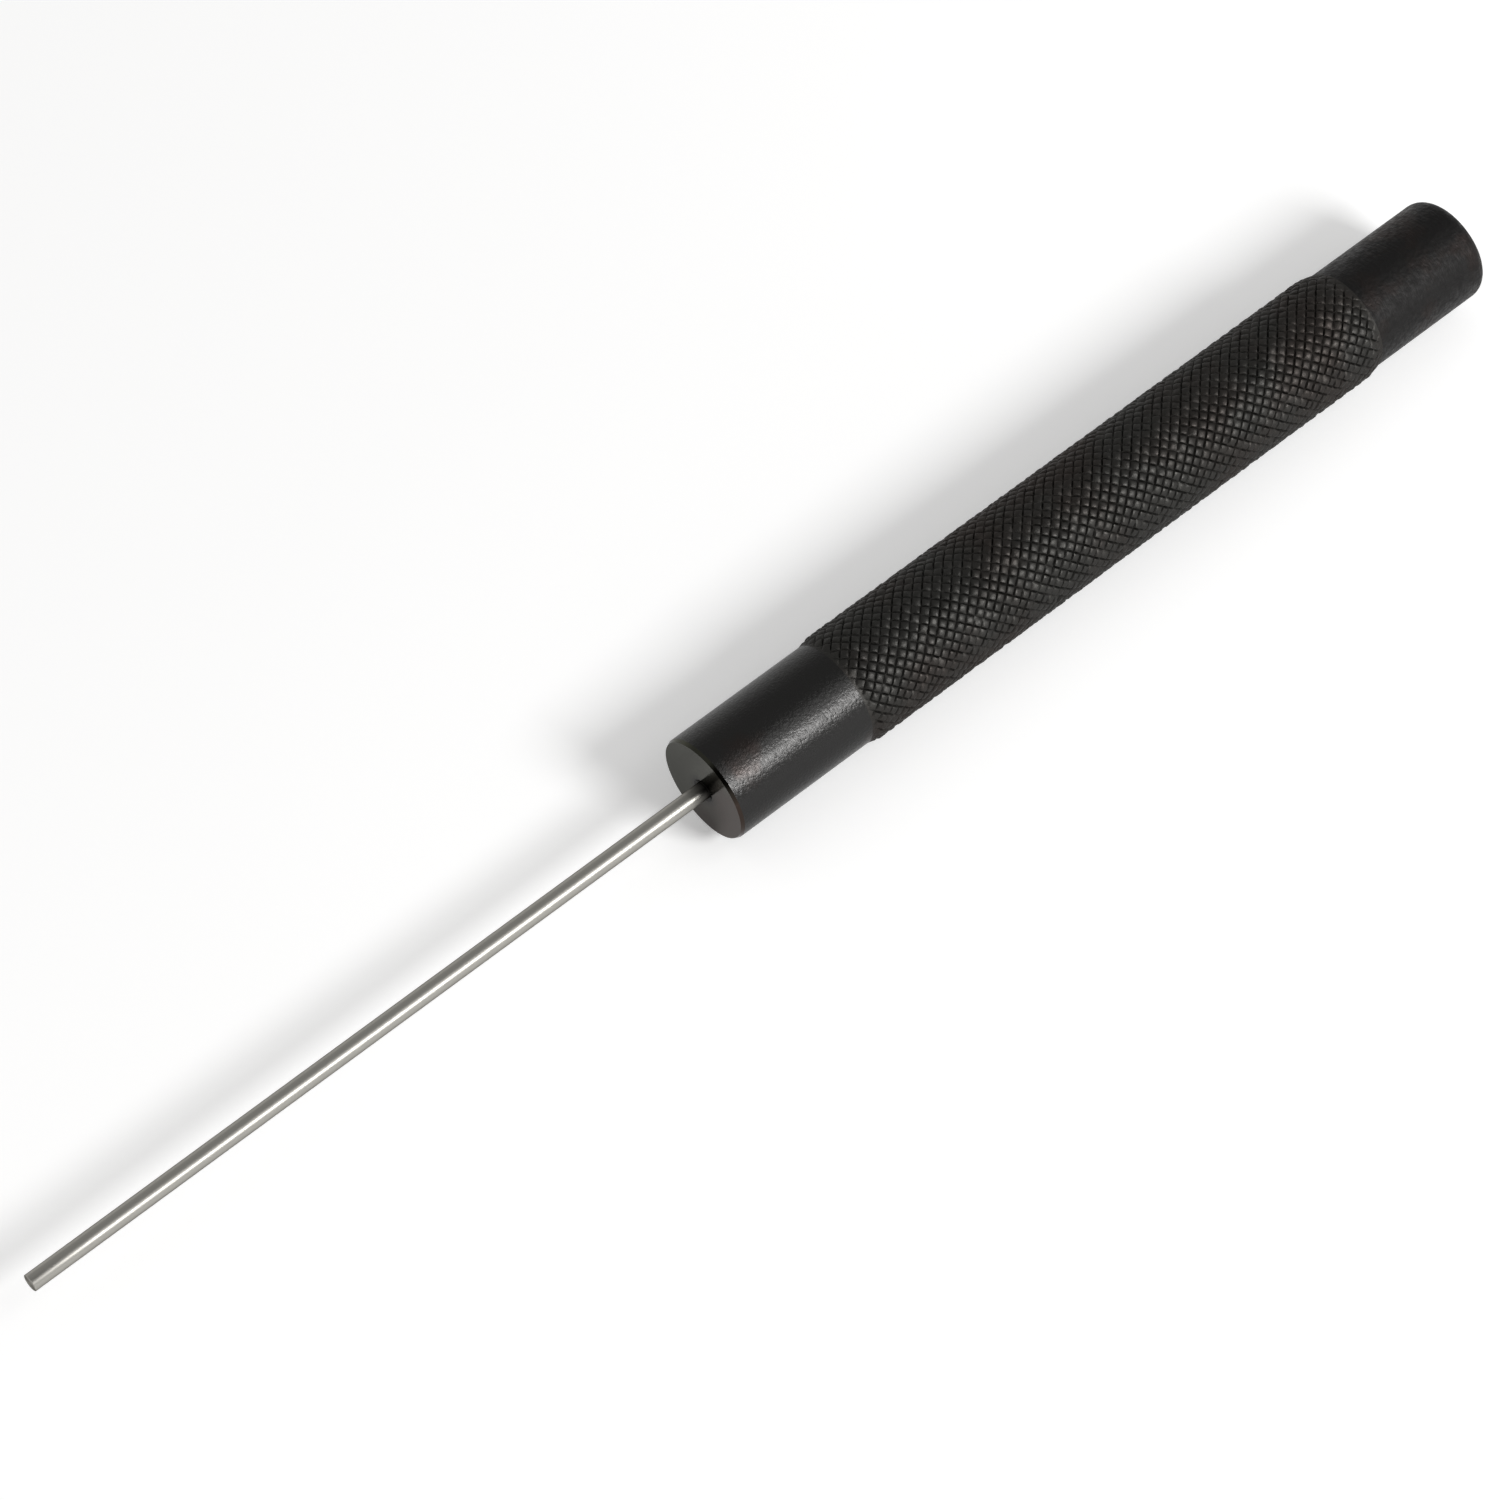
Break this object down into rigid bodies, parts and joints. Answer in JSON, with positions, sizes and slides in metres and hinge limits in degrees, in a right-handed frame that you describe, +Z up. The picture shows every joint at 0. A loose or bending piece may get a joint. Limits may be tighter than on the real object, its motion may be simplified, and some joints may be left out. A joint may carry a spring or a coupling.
{
  "type": "pin punch",
  "caption": "Pin punch: slender ground steel pin pressed into a black turned handle with a diamond-knurled grip and a plain striking head, for driving pins out of holes.",
  "frame": {"origin": "on the floor that the punch lies on, under the middle of its length: the bottom centre of its bounding box", "axes": "+X along the punch from the tip of the pin to the striking head, +Z up, away from the floor"},
  "size_m": [0.2, 0.0134, 0.0134],
  "materials": {
    "black_oxide_steel": "satin black oxide over turned and knurled steel",
    "ground_steel": "bright ground"
  },
  "bodies": {
    "root": {"handle": "black_oxide_steel", "pin": "ground_steel"}
  },
  "joints": []
}
